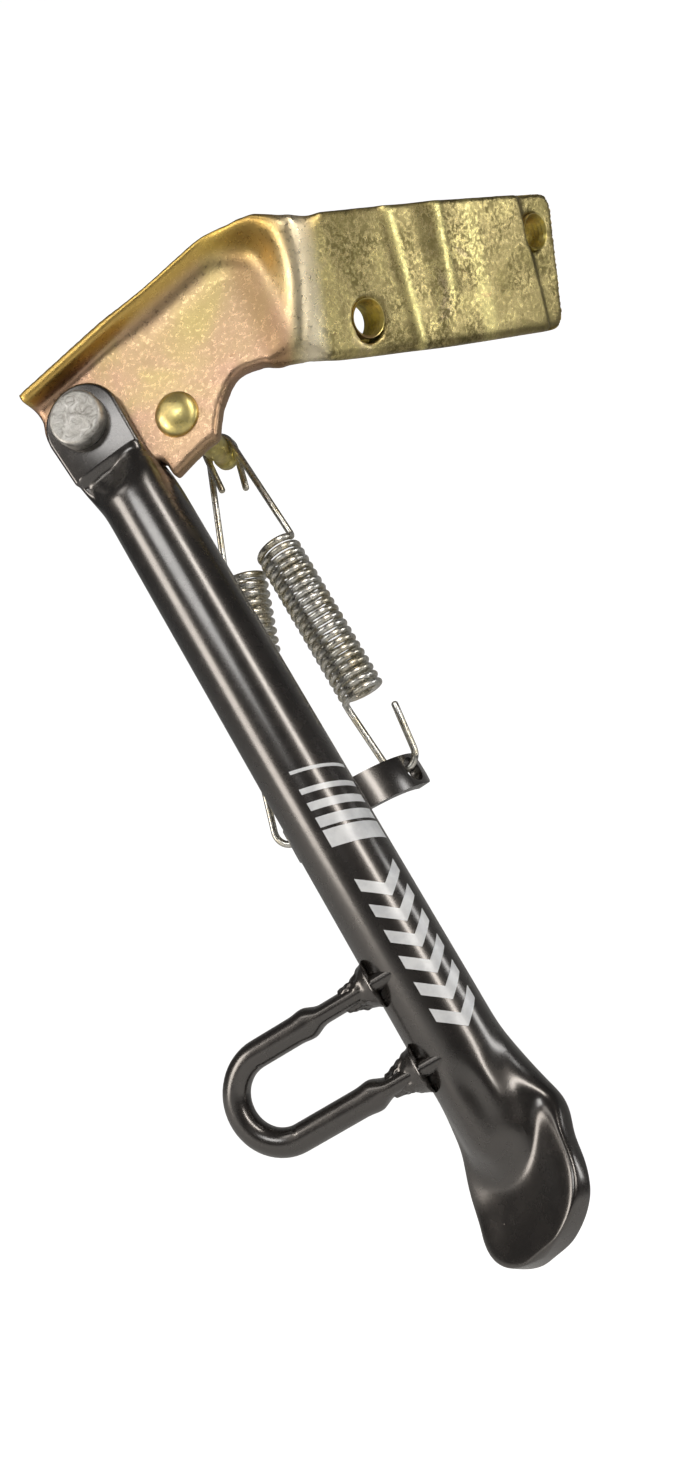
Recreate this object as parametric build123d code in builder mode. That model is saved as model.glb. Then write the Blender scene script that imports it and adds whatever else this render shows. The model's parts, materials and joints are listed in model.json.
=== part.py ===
"""Side stand: a plated bracket, a swinging tube leg, and two return springs."""
from build123d import *
import math
import os

os.makedirs("parts", exist_ok=True)

# ---- driving dimensions, millimetres and degrees -------------------------------------
SHEET = 5.0                # pressed bracket plate
HALF = SHEET / 2
FIT_GAP = 0.3              # air between bodies that move past each other
RUNNING_GAP = 0.05         # radial clearance of the pivot bolt in its bush

ARM_TURN = 50.0            # the arm turns back from the plate by this much
ARM_LEAN = 14.0            # and its face leans down by this much
ARM_RISE = 21.8            # and it climbs along its own face
ARM_BEND = 7.0             # second, gentle bend half way along the arm
ARM_ROOT = 47.2            # length to the second bend
ARM_END = 51.3             # length past the second bend
ARM_WIDTH = (35.1, 37.4, 38.2)
ARM_TOP_FROM_PIVOT = Vector(62.6, -13.75, 45.3)
ARM_FOOT_FROM_PIVOT = Vector(61.1, -2.5, 11.6)
KNEE_TOP = (47.5, 45.3)    # where the plate turns forward into the knee, at its top
TAB_STEP = 0.8             # the arm's end sits this much lower than its face
THREAD_RADIUS = 5.0        # M10 mounting holes
LOWER_HOLE = (18.6, -27.5)
UPPER_HOLE = (41.5, -10.6)
NUT_FLATS = 16.0
NUT_LENGTH = 5.0

WALL_OUT = 18.9            # stiffening wall, distances from the pivot
WALL_IN = 15.4
WALL_ANGLE = 35.9
WALL_START = -10.5
WALL_HEIGHT = 6.3
WALL_TOP = 48.6
WALL_CORNER = 9.0
LUG_RADIUS = 12.3

LEG_ANGLE = -58.65         # leg direction below the horizontal, at rest
LEG_SHIFT = 2.1            # the tube's axis lies this far to one side of the pivot
TUBE_RADIUS = 11.0
TUBE_WALL = 2.6
EAR_RADIUS = 11.5
EAR_FRONT = 6.6
EAR_END = 14.0
SLOT_DEPTH = 23.8
TUBE_START = 31.0
FOOT_START = 190.0
PAD_BEND = 36.0
PAD_TWIST = 24.0
PAD_THICKNESS = 5.6
PAD_HALF_WIDTH = 14.2
PAD_STRAIGHT = 4.0

BOLT_RADIUS = 5.0
BUSH_RADIUS = 7.0
HEAD_RADIUS = 7.8
HEAD_HEIGHT = 4.2
WASHER_RADIUS = 9.0
WASHER_THICKNESS = 1.5
PIVOT_NUT_FLATS = 13.0
PIVOT_NUT_HEIGHT = 6.0
RING_HEIGHT = 2.0
STEM_RADIUS = 4.0

STUD = (26.46, 0.88)       # spring stud, from the pivot
STUD_RADIUS = 3.75
STUD_END = 33.5
GROOVE_RADIUS = 3.0
GROOVE = (25.0, 30.0)
DOME_RADIUS = 6.3
DOME_HEIGHT = 3.3

WIRE = 1.0
COIL_RADIUS = 5.7
COIL_PITCH = 2.55
COIL_TURNS = 20
STUD_HOOK = GROOVE_RADIUS + WIRE + FIT_GAP
YOKE_HOOK = 4.6
TAIL_SPREAD = 6.3

YOKE_AT = 124.75           # station of the spring yoke along the leg
YOKE_WIDTH = 9.5
YOKE_RADIUS = 20.0
YOKE_THICKNESS = 3.5
YOKE_SHIFT = 3.0
YOKE_DEPTH = TUBE_RADIUS + YOKE_RADIUS + YOKE_THICKNESS / 2
YOKE_TIP = 93.0
YOKE_HOLE = 3.75

LOOP_ROD = 3.5
LOOP_TOP = 168.8           # station of the loop's upper rod
LOOP_SPACING = 22.2
LOOP_REACH = -41.0         # centre of the loop's round end, across the leg
LOOP_LIFT = 7.0
LOOP_END = -3.5

STRIPES = ((114.9, 0.9), (120.0, 1.5), (123.9, 2.2), (128.0, 2.8), (131.6, 4.7))
STRIPE_SLANT = 13.5
PRINT = 0.12


def turned(x, y, degrees):
    """A point of a plane, turned about that plane's origin."""
    a = math.radians(degrees)
    return (x * math.cos(a) - y * math.sin(a), x * math.sin(a) + y * math.cos(a))


# ---- planes --------------------------------------------------------------------------
turn, lean, rise, bend = (math.radians(v) for v in (ARM_TURN, ARM_LEAN, ARM_RISE, ARM_BEND))
level = Vector(math.cos(turn), math.sin(turn), 0)
facing = Vector(math.sin(turn) * math.cos(lean), -math.cos(turn) * math.cos(lean), -math.sin(lean))
upward = facing.cross(level)
arm_x = level * math.cos(rise) + upward * math.sin(rise)
arm_y = facing.cross(arm_x)

# The origin of everything is the mouth of the lower mounting hole.
ARM = Plane(origin=arm_x * -LOWER_HOLE[0] + arm_y * -LOWER_HOLE[1], x_dir=arm_x, z_dir=facing)
ARM_TAB = Plane(
    origin=ARM.from_local_coords(Vector(ARM_ROOT, 0, 0)),
    x_dir=arm_x * math.cos(bend) - facing * math.sin(bend),
    z_dir=facing * math.cos(bend) + arm_x * math.sin(bend),
)
PIVOT = ARM.origin - ARM_TOP_FROM_PIVOT
FRONT = Plane(origin=PIVOT, x_dir=(1, 0, 0), z_dir=(0, -1, 0))
leg_x, leg_z = turned(1, 0, LEG_ANGLE)
LEG_FACE = Plane(origin=PIVOT, x_dir=(leg_x, 0, leg_z), z_dir=(0, -1, 0))
LEG_ACROSS = Plane(origin=PIVOT, x_dir=(-leg_z, 0, leg_x), z_dir=(leg_x, 0, leg_z))


def along_wall(distance, out):
    """A point of FRONT, placed along and away from the stiffening wall's direction."""
    return turned(distance, out, WALL_ANGLE)


def on_leg(station, across):
    """A point of FRONT, given along and across the leg at rest."""
    return turned(station, across, LEG_ANGLE)


def flat(plane, point):
    """A point, dropped onto a plane, in that plane's own x and y."""
    local = plane.to_local_coords(point)
    return (local.X, local.Y)


def wire_path(plane, side, start, centre, radius, tip):
    """A side hook: straight leg, a round end about centre, and a short tail."""
    reach = -1 if centre[0] < start else 1
    leg = (start, side * COIL_RADIUS)
    points = []
    for x, y in (leg, tip):
        dx, dy = x - centre[0], y - centre[1]
        swing = math.acos(radius / math.hypot(dx, dy))
        away = 1 if dy > 0 else -1
        a = math.atan2(dy, dx) - reach * away * swing
        points.append((centre[0] + radius * math.cos(a), centre[1] + radius * math.sin(a)))
    with BuildLine(plane) as path:
        Line(leg, points[0])
        ThreePointArc(points[0], (centre[0] + reach * radius, centre[1]), points[1])
        Line(points[1], tip)
    return path.line


# ---- bracket -------------------------------------------------------------------------
arm_top = (ARM_TOP_FROM_PIVOT.X, ARM_TOP_FROM_PIVOT.Z)
arm_foot = (ARM_FOOT_FROM_PIVOT.X, ARM_FOOT_FROM_PIVOT.Z)
stop_edge = TUBE_RADIUS + LEG_SHIFT + FIT_GAP
slope = math.radians(WALL_ANGLE)
wall_peak = ((WALL_TOP * math.cos(slope) - WALL_OUT) / math.sin(slope), WALL_TOP)
inner_height = WALL_TOP - (WALL_OUT - WALL_IN)
inner_peak = ((inner_height * math.cos(slope) - WALL_IN) / math.sin(slope), inner_height)
lug_end = along_wall(WALL_START, WALL_IN - 3.5)

with BuildPart() as bracket_plate:
    with BuildSketch(FRONT.offset(-HALF)) as plate_outline:
        with BuildLine():
            Polyline(
                lug_end,
                along_wall(WALL_START, WALL_OUT),
                wall_peak,
                KNEE_TOP,
                arm_foot,
                (50.0, 13.8),
                (41.6, 12.2),
                (38.0, 3.0),
                (37.3, -5.5),
                on_leg(27.0, stop_edge),
                on_leg(22.3, stop_edge),
                on_leg(19.8, 10.6),
                (-2.1, -LUG_RADIUS),
            )
            ThreePointArc((-2.1, -LUG_RADIUS), turned(-LUG_RADIUS, 0, 40), lug_end)
        make_face()
        for corner, radius in (
            (wall_peak, WALL_CORNER),
            ((41.6, 12.2), 7),
            ((37.3, -5.5), 3),
            (on_leg(22.3, stop_edge), 1.5),
        ):
            fillet(plate_outline.vertices().sort_by_distance(corner)[0], radius=radius)
    extrude(amount=SHEET)

    # Stiffening wall along the upper left edge.
    with BuildSketch(FRONT.offset(-HALF)) as wall_outline:
        with BuildLine():
            Polyline(
                along_wall(WALL_START, WALL_IN),
                along_wall(WALL_START, WALL_OUT),
                wall_peak,
                arm_top,
                (arm_top[0], arm_top[1] - (WALL_OUT - WALL_IN)),
                inner_peak,
                close=True,
            )
        make_face()
        for corner, radius in ((wall_peak, WALL_CORNER), (inner_peak, WALL_CORNER - 3.5)):
            fillet(wall_outline.vertices().sort_by_distance(corner)[0], radius=radius)
    extrude(amount=SHEET + WALL_HEIGHT)

    # The knee: a three-cornered wall from the plate forward to the arm.
    knee_corners = [
        PIVOT + Vector(KNEE_TOP[0], -HALF, KNEE_TOP[1]),
        PIVOT + ARM_TOP_FROM_PIVOT,
        PIVOT + ARM_FOOT_FROM_PIVOT,
    ]
    knee_out = (knee_corners[2] - knee_corners[0]).cross(knee_corners[1] - knee_corners[0])
    KNEE = Plane(
        origin=knee_corners[0], x_dir=knee_corners[1] - knee_corners[0], z_dir=knee_out
    )
    with BuildSketch(KNEE):
        with BuildLine():
            Polyline([flat(KNEE, c) for c in knee_corners], close=True)
        make_face()
    extrude(amount=-SHEET)

    # The arm, in two flat lengths.
    with BuildSketch(ARM):
        with BuildLine():
            Polyline(
                (0, 0),
                (ARM_ROOT, 0),
                (ARM_ROOT, -ARM_WIDTH[1]),
                flat(ARM, knee_corners[2]),
                close=True,
            )
        make_face()
    extrude(amount=-SHEET)
    with BuildSketch(ARM_TAB) as tab_outline:
        with BuildLine():
            Polyline(
                (0, 0), (ARM_END, 0), (ARM_END, -ARM_WIDTH[2]), (0, -ARM_WIDTH[1]), close=True
            )
        make_face()
        fillet(tab_outline.vertices().group_by(Axis.X)[-1], radius=4.5)
    extrude(amount=-SHEET)

    # The arm's end is stepped back past a slanted line.
    with BuildSketch(ARM_TAB):
        with BuildLine():
            Polyline(
                (35.0, 5), (ARM_END + 5, 5), (ARM_END + 5, -45), (45.0, -45), close=True
            )
        make_face()
    extrude(amount=-TAB_STEP, mode=Mode.SUBTRACT)

    # Round outer bend behind the knee.
    knee_line = knee_corners[2] - knee_corners[0]
    KNEE_LINE = Plane(origin=knee_corners[0], z_dir=knee_line)
    with BuildSketch(KNEE_LINE):
        with BuildLine():
            behind_plate = Vector(*flat(KNEE_LINE, knee_corners[0] + Vector(0, SHEET, 0)))
            behind_knee = Vector(*flat(KNEE_LINE, knee_corners[0] - knee_out.normalized() * SHEET))
            middle = (behind_plate + behind_knee).normalized() * SHEET
            ThreePointArc(behind_plate, middle, behind_knee)
            Polyline(behind_knee, (0, 0), behind_plate)
        make_face()
    extrude(amount=knee_line.length)

    # Bush bore, stud bore, mounting bores, and the slit beside the stop edge.
    with BuildSketch(FRONT.offset(HALF)):
        Circle(BUSH_RADIUS)
        with Locations(STUD):
            Circle(STEM_RADIUS)
        with BuildLine():
            Polyline(
                on_leg(15.5, stop_edge + 0.2),
                on_leg(23.0, stop_edge),
                on_leg(23.0, stop_edge - 0.9),
                on_leg(16.5, stop_edge - 0.3),
                close=True,
            )
        make_face()
    extrude(amount=-SHEET * 2, mode=Mode.SUBTRACT)
    with BuildSketch(ARM.offset(1)):
        with Locations(LOWER_HOLE):
            Circle(THREAD_RADIUS)
    extrude(amount=-2 * SHEET, mode=Mode.SUBTRACT)
    with BuildSketch(ARM_TAB.offset(1)):
        with Locations(UPPER_HOLE):
            Circle(THREAD_RADIUS)
    extrude(amount=-2 * SHEET, mode=Mode.SUBTRACT)
bracket_plate.part.label = "bracket_plate"

with BuildPart() as weld_nut_lower:
    with BuildSketch(ARM.offset(-SHEET)):
        with Locations(LOWER_HOLE):
            RegularPolygon(radius=NUT_FLATS / 2, side_count=6, major_radius=False)
            Circle(THREAD_RADIUS, mode=Mode.SUBTRACT)
    extrude(amount=-NUT_LENGTH)
weld_nut_lower.part.label = "weld_nut_lower"

with BuildPart() as weld_nut_upper:
    with BuildSketch(ARM_TAB.offset(-SHEET)):
        with Locations(UPPER_HOLE):
            RegularPolygon(radius=NUT_FLATS / 2, side_count=6, major_radius=False)
            Circle(THREAD_RADIUS, mode=Mode.SUBTRACT)
    extrude(amount=-NUT_LENGTH)
weld_nut_upper.part.label = "weld_nut_upper"

with BuildPart() as spring_stud:
    with BuildSketch(FRONT.offset(HALF)):
        with Locations(STUD):
            Circle(DOME_RADIUS)
    extrude(amount=DOME_HEIGHT)
    fillet(spring_stud.edges().group_by(Axis.Y)[0], radius=DOME_HEIGHT - 0.4)
    with BuildSketch(FRONT.offset(HALF)):
        with Locations(STUD):
            Circle(STEM_RADIUS)
    extrude(amount=-SHEET)
    with BuildSketch(FRONT.offset(-HALF)):
        with Locations(STUD):
            Circle(STUD_RADIUS)
    extrude(amount=HALF - STUD_END)
    chamfer(spring_stud.edges().group_by(Axis.Y)[-1], length=0.8)
    with BuildSketch(FRONT.offset(-GROOVE[0])):
        with Locations(STUD):
            Circle(STUD_RADIUS + 1)
            Circle(GROOVE_RADIUS, mode=Mode.SUBTRACT)
    extrude(amount=GROOVE[0] - GROOVE[1], mode=Mode.SUBTRACT)
spring_stud.part.label = "spring_stud"

with BuildPart() as pivot_bush:
    with BuildSketch(FRONT.offset(-HALF)):
        Circle(BUSH_RADIUS)
        Circle(BOLT_RADIUS + RUNNING_GAP, mode=Mode.SUBTRACT)
    extrude(amount=SHEET)
pivot_bush.part.label = "pivot_bush"

# ---- pivot bolt and its nut ----------------------------------------------------------
with BuildPart() as pivot_bolt:
    with BuildSketch(FRONT.offset(EAR_FRONT)):
        Circle(HEAD_RADIUS)
    extrude(amount=HEAD_HEIGHT)
    fillet(pivot_bolt.edges().group_by(Axis.Y)[0], radius=0.8)
    with BuildSketch(FRONT.offset(EAR_FRONT)):
        Circle(BOLT_RADIUS)
    extrude(amount=-2 * EAR_FRONT)
    stem = WASHER_THICKNESS + PIVOT_NUT_HEIGHT + RING_HEIGHT + 1.5
    with BuildSketch(FRONT.offset(-EAR_FRONT)):
        Circle(STEM_RADIUS)
    extrude(amount=-stem)
    chamfer(pivot_bolt.edges().group_by(Axis.Y)[-1], length=0.8)
pivot_bolt.part.label = "pivot_bolt"

with BuildPart() as pivot_washer:
    with BuildSketch(FRONT.offset(-EAR_FRONT)):
        Circle(WASHER_RADIUS)
        Circle(STEM_RADIUS, mode=Mode.SUBTRACT)
    extrude(amount=-WASHER_THICKNESS)
    fillet(pivot_washer.edges().group_by(Axis.Y)[-1].sort_by(SortBy.RADIUS)[-1], radius=0.4)
pivot_washer.part.label = "pivot_washer"

with BuildPart() as pivot_nut:
    with BuildSketch(FRONT.offset(-EAR_FRONT - WASHER_THICKNESS)):
        RegularPolygon(radius=PIVOT_NUT_FLATS / 2, side_count=6, major_radius=False)
        Circle(STEM_RADIUS, mode=Mode.SUBTRACT)
    extrude(amount=-PIVOT_NUT_HEIGHT)
    ring_at = EAR_FRONT + WASHER_THICKNESS + PIVOT_NUT_HEIGHT
    with BuildSketch(FRONT.offset(-ring_at)):
        Circle(PIVOT_NUT_FLATS / 2 - 0.3)
        Circle(PIVOT_NUT_FLATS / 2 - 1.3, mode=Mode.SUBTRACT)
    extrude(amount=-RING_HEIGHT)
    chamfer(pivot_nut.edges().group_by(Axis.Y)[-1].sort_by(SortBy.RADIUS)[-1], length=0.5)
pivot_nut.part.label = "pivot_nut"

with BuildPart() as nut_lock_ring:
    with BuildSketch(FRONT.offset(-ring_at)):
        Circle(PIVOT_NUT_FLATS / 2 - 1.3)
        Circle(STEM_RADIUS, mode=Mode.SUBTRACT)
    extrude(amount=-RING_HEIGHT + 0.3)
nut_lock_ring.part.label = "nut_lock_ring"

# ---- leg -----------------------------------------------------------------------------
def foot_section(along, forward, bend_angle, twist_angle, across=LEG_SHIFT):
    """A plane square to the foot, at a station along the leg."""
    square = LEG_ACROSS.offset(along)
    centre = square.from_local_coords(Vector(across, forward, 0))
    bent = Plane(origin=centre, x_dir=square.x_dir, z_dir=square.z_dir)
    return bent.rotated((-bend_angle, 0, 0)).rotated((0, 0, twist_angle))


PAD_SECTION = foot_section(222, 4.6, PAD_BEND, PAD_TWIST, LEG_SHIFT - 2.0)
PAD = Plane(origin=PAD_SECTION.origin, x_dir=PAD_SECTION.x_dir, z_dir=PAD_SECTION.y_dir)

with BuildPart() as leg_tube:
    with BuildSketch(LEG_ACROSS.offset(TUBE_START)):
        with Locations((LEG_SHIFT, 0)):
            Circle(TUBE_RADIUS)
    extrude(amount=FOOT_START - TUBE_START)

    # Pressed foot: the tube closes to a flat pad that turns forward.
    with BuildSketch(LEG_ACROSS.offset(FOOT_START)):
        with Locations((LEG_SHIFT, 0)):
            Circle(TUBE_RADIUS)
    with BuildSketch(foot_section(203, -1.0, 8, 6, LEG_SHIFT - 0.4)):
        Ellipse(11.7, 8.6)
    with BuildSketch(foot_section(213, -0.5, 22, 16, LEG_SHIFT - 0.6)):
        Ellipse(12.8, 5.6)
    with BuildSketch(PAD_SECTION):
        RectangleRounded(2 * PAD_HALF_WIDTH - 1, PAD_THICKNESS - 0.4, 2.2)
    loft()
    with BuildSketch(PAD.offset(-PAD_THICKNESS / 2)):
        with BuildLine():
            Polyline(
                (PAD_HALF_WIDTH, -PAD_STRAIGHT),
                (PAD_HALF_WIDTH - 3, 2.0),
                (3 - PAD_HALF_WIDTH, 2.0),
                (-PAD_HALF_WIDTH, -PAD_STRAIGHT),
            )
            ThreePointArc(
                (PAD_HALF_WIDTH, -PAD_STRAIGHT),
                (0, -PAD_STRAIGHT - PAD_HALF_WIDTH),
                (-PAD_HALF_WIDTH, -PAD_STRAIGHT),
            )
        make_face()
    extrude(amount=PAD_THICKNESS)

    # Flattened upper end.
    with BuildSketch(LEG_ACROSS.offset(EAR_END)):
        with Locations((0.4, 0)):
            RectangleRounded(21.8, EAR_FRONT * 2, 3)
    with BuildSketch(LEG_ACROSS.offset(TUBE_START)):
        with Locations((LEG_SHIFT, 0)):
            Circle(TUBE_RADIUS)
    loft()
    with BuildSketch(LEG_FACE.offset(-EAR_FRONT)):
        Circle(EAR_RADIUS)
        with BuildLine():
            Polyline((0, EAR_RADIUS), (EAR_END, 11.3), (EAR_END, -10.5), (0, -EAR_RADIUS), close=True)
        make_face()
    extrude(amount=2 * EAR_FRONT)

    # Bore of the tube, the slot for the plate, and the bolt's hole.
    with BuildSketch(LEG_ACROSS.offset(SLOT_DEPTH + 3)):
        with Locations((LEG_SHIFT, 0)):
            Circle(TUBE_RADIUS - TUBE_WALL - 1.2)
    extrude(amount=FOOT_START - SLOT_DEPTH, mode=Mode.SUBTRACT)
    slot = HALF + FIT_GAP
    with BuildSketch(LEG_FACE.offset(-slot)):
        with Locations(((SLOT_DEPTH - EAR_RADIUS - 5) / 2, 0)):
            Rectangle(SLOT_DEPTH + EAR_RADIUS + 5, 40)
    extrude(amount=2 * slot, mode=Mode.SUBTRACT)
    with BuildSketch(LEG_FACE.offset(-EAR_FRONT)):
        Circle(BOLT_RADIUS)
    extrude(amount=2 * EAR_FRONT, mode=Mode.SUBTRACT)
leg_tube.part.label = "leg_tube"

with BuildPart() as tube_cutter:
    with BuildSketch(LEG_ACROSS.offset(EAR_END)):
        with Locations((LEG_SHIFT, 0)):
            Circle(TUBE_RADIUS)
    extrude(amount=FOOT_START - EAR_END + 3)

# ---- foot loop -----------------------------------------------------------------------
with BuildPart() as foot_loop:
    with BuildLine(LEG_FACE.offset(LOOP_LIFT)):
        Line((LOOP_TOP, LOOP_END), (LOOP_TOP, LOOP_REACH))
        ThreePointArc(
            (LOOP_TOP, LOOP_REACH),
            (LOOP_TOP + LOOP_SPACING / 2, LOOP_REACH - LOOP_SPACING / 2),
            (LOOP_TOP + LOOP_SPACING, LOOP_REACH),
        )
        Line((LOOP_TOP + LOOP_SPACING, LOOP_REACH), (LOOP_TOP + LOOP_SPACING, LOOP_END))
    rod_start = LEG_FACE.from_local_coords(Vector(LOOP_TOP, LOOP_END, LOOP_LIFT))
    with BuildSketch(Plane(origin=rod_start, z_dir=LEG_FACE.y_dir)):
        Circle(LOOP_ROD)
    sweep()
    add(tube_cutter.part, mode=Mode.SUBTRACT)
    add(leg_tube.part, mode=Mode.SUBTRACT)
foot_loop.part.label = "foot_loop"

with BuildPart() as loop_welds:
    side = math.sqrt(TUBE_RADIUS**2 - LOOP_LIFT**2)
    for station in (LOOP_TOP, LOOP_TOP + LOOP_SPACING):
        spot = LEG_FACE.from_local_coords(Vector(station, LEG_SHIFT - side + 0.6, LOOP_LIFT))
        with Locations(spot):
            Sphere(LOOP_ROD + 1.4)
    add(tube_cutter.part, mode=Mode.SUBTRACT)
    add(leg_tube.part, mode=Mode.SUBTRACT)
    add(foot_loop.part, mode=Mode.SUBTRACT)
loop_welds.part.label = "loop_welds"

# ---- spring yoke ---------------------------------------------------------------------
YOKE = LEG_ACROSS.offset(YOKE_AT - YOKE_WIDTH / 2)
yoke_centre = (YOKE_SHIFT, -YOKE_DEPTH)
yoke_out = YOKE_RADIUS + YOKE_THICKNESS / 2
yoke_in = YOKE_RADIUS - YOKE_THICKNESS / 2
spring_depths = (26.3, 28.7)
hole_angles = [
    side * math.degrees(math.acos((YOKE_DEPTH - depth) / YOKE_RADIUS))
    for side, depth in zip((1, -1), spring_depths)
]


def yoke_point(radius, angle):
    """A point of the yoke's section, at an angle from its weld."""
    x, y = turned(0, radius, -angle)
    return (yoke_centre[0] + x, yoke_centre[1] + y)


with BuildPart() as spring_yoke:
    with BuildSketch(YOKE):
        with BuildLine():
            Line(yoke_point(yoke_in, -YOKE_TIP), yoke_point(yoke_out, -YOKE_TIP))
            ThreePointArc(
                yoke_point(yoke_out, -YOKE_TIP), yoke_point(yoke_out, 0), yoke_point(yoke_out, YOKE_TIP)
            )
            Line(yoke_point(yoke_out, YOKE_TIP), yoke_point(yoke_in, YOKE_TIP))
            ThreePointArc(
                yoke_point(yoke_in, YOKE_TIP), yoke_point(yoke_in, 0), yoke_point(yoke_in, -YOKE_TIP)
            )
        make_face()
    extrude(amount=YOKE_WIDTH)
    for angle in hole_angles:
        middle = YOKE.offset(YOKE_WIDTH / 2)
        start = middle.from_local_coords(Vector(*yoke_centre, 0))
        rim = middle.from_local_coords(Vector(*yoke_point(YOKE_RADIUS, angle), 0))
        with BuildSketch(Plane(origin=start, z_dir=rim - start)):
            Circle(YOKE_HOLE)
        extrude(amount=YOKE_RADIUS * 2, mode=Mode.SUBTRACT)
    add(tube_cutter.part, mode=Mode.SUBTRACT)
spring_yoke.part.label = "spring_yoke"

with BuildPart() as yoke_welds:
    for side in (-1, 1):
        with BuildSketch(YOKE.offset(0.4)):
            with Locations((LEG_SHIFT + side * 6.2, -TUBE_RADIUS + 0.3)):
                Circle(2.2)
        extrude(amount=YOKE_WIDTH - 0.8)
    add(tube_cutter.part, mode=Mode.SUBTRACT)
    add(spring_yoke.part, mode=Mode.SUBTRACT)
yoke_welds.part.label = "yoke_welds"

# ---- springs -------------------------------------------------------------------------
def hook(path):
    """Round wire along a hook's path."""
    with BuildPart() as wire:
        with BuildSketch(Plane(origin=path @ 0, z_dir=path % 0)):
            Circle(WIRE)
        sweep(path=path)
    return wire.part


def spring(name, anchor, depth, sides, coil, tips):
    """Upper half with the coil, and the lower hook, of one tension spring."""
    start = FRONT.from_local_coords(Vector(STUD[0], STUD[1], -depth))
    end = LEG_FACE.from_local_coords(Vector(anchor[0], anchor[1], -depth))
    plane = Plane(origin=start, x_dir=end - start, z_dir=(0, -1, 0))
    length = (end - start).length
    upper_side, lower_side = sides
    turns = COIL_TURNS + (0 if upper_side == lower_side else 0.5)
    foot = plane.from_local_coords(Vector(coil[0], 0, 0))
    coil_plane = Plane(origin=foot, x_dir=plane.y_dir * upper_side, z_dir=plane.x_dir)
    with BuildPart() as upright:
        with BuildLine() as helix:
            Helix(pitch=(coil[1] - coil[0]) / turns, height=coil[1] - coil[0], radius=COIL_RADIUS)
        with BuildSketch(Plane(origin=helix.line @ 0, z_dir=helix.line % 0)):
            Circle(WIRE)
        sweep(path=helix.line, is_frenet=True)
        with Locations(helix.line @ 0):
            Sphere(WIRE)
    with BuildPart() as upper:
        add(coil_plane.location * upright.part)
        add(hook(wire_path(plane, upper_side, coil[0], (0, 0), STUD_HOOK, tips[0])))
    upper.part.label = name + "_coil"
    lower_start = coil[1] + WIRE + FIT_GAP
    lower_path = wire_path(plane, lower_side, lower_start, (length, 0), YOKE_HOOK, tips[1])
    with BuildPart() as lower:
        add(hook(lower_path))
    lower.part.label = name + "_lower_hook"
    return upper, lower


outer_upper, outer_lower = spring(
    "outer_spring", (119.15, 21.9), spring_depths[0], (1, -1), (35.7, 86.7), ((11.0, -5.2), (93.5, 6.3))
)
inner_upper, inner_lower = spring(
    "inner_spring", (119.4, -16.2), spring_depths[1], (-1, -1), (38.0, 94.0), ((12.5, 5.4), (100.5, 6.3))
)

# ---- print ---------------------------------------------------------------------------
with BuildPart() as side_print:
    with BuildSketch(LEG_FACE.offset(2)):
        slant = math.tan(math.radians(STRIPE_SLANT))
        for station, width in STRIPES:
            with BuildLine():
                Polyline(
                    (station, LEG_SHIFT + 0.4),
                    (station + 12 * slant, LEG_SHIFT + 12),
                    (station + width + 12 * slant, LEG_SHIFT + 12),
                    (station + width, LEG_SHIFT + 0.4),
                    close=True,
                )
            make_face()
    extrude(amount=TUBE_RADIUS + 2)
    with BuildSketch(LEG_ACROSS.offset(EAR_END)):
        with Locations((LEG_SHIFT, 0)):
            Circle(TUBE_RADIUS + PRINT)
    extrude(amount=FOOT_START - EAR_END, mode=Mode.INTERSECT)
    add(tube_cutter.part, mode=Mode.SUBTRACT)
side_print.part.label = "side_print"

for piece in (
    bracket_plate, weld_nut_lower, weld_nut_upper, spring_stud, pivot_bush, pivot_bolt,
    pivot_washer, pivot_nut, nut_lock_ring, leg_tube, foot_loop, loop_welds, spring_yoke,
    yoke_welds, outer_upper, outer_lower, inner_upper, inner_lower, side_print,
):
    export_step(piece.part, f"parts/{piece.part.label}.step")
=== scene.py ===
"""Side stand: plated bracket, painted tube leg with a pressed foot, and two wire springs."""
import json
import math

import bmesh
import bpy
import numpy as np
from mathutils import Matrix, Vector


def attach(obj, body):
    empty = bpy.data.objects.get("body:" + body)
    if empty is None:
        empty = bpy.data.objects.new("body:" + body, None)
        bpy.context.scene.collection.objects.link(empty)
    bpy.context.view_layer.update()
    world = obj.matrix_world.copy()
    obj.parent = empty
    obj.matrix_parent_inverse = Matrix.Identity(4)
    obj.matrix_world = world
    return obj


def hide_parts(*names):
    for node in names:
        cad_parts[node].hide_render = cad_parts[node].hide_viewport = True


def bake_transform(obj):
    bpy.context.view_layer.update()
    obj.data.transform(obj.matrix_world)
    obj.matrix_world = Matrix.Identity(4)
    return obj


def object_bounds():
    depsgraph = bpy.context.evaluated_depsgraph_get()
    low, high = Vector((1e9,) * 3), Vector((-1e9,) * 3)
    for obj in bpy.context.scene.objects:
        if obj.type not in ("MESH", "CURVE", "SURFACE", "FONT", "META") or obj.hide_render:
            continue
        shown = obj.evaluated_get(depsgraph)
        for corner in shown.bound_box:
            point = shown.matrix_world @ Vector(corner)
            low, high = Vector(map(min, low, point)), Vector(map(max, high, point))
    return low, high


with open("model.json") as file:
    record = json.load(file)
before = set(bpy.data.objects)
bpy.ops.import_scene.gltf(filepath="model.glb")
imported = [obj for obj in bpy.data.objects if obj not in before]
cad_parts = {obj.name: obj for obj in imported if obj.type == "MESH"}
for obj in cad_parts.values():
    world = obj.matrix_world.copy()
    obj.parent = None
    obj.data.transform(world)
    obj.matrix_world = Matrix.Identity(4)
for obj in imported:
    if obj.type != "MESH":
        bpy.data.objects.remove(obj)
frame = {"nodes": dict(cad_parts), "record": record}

cad_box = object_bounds()
MM = 0.001

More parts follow.
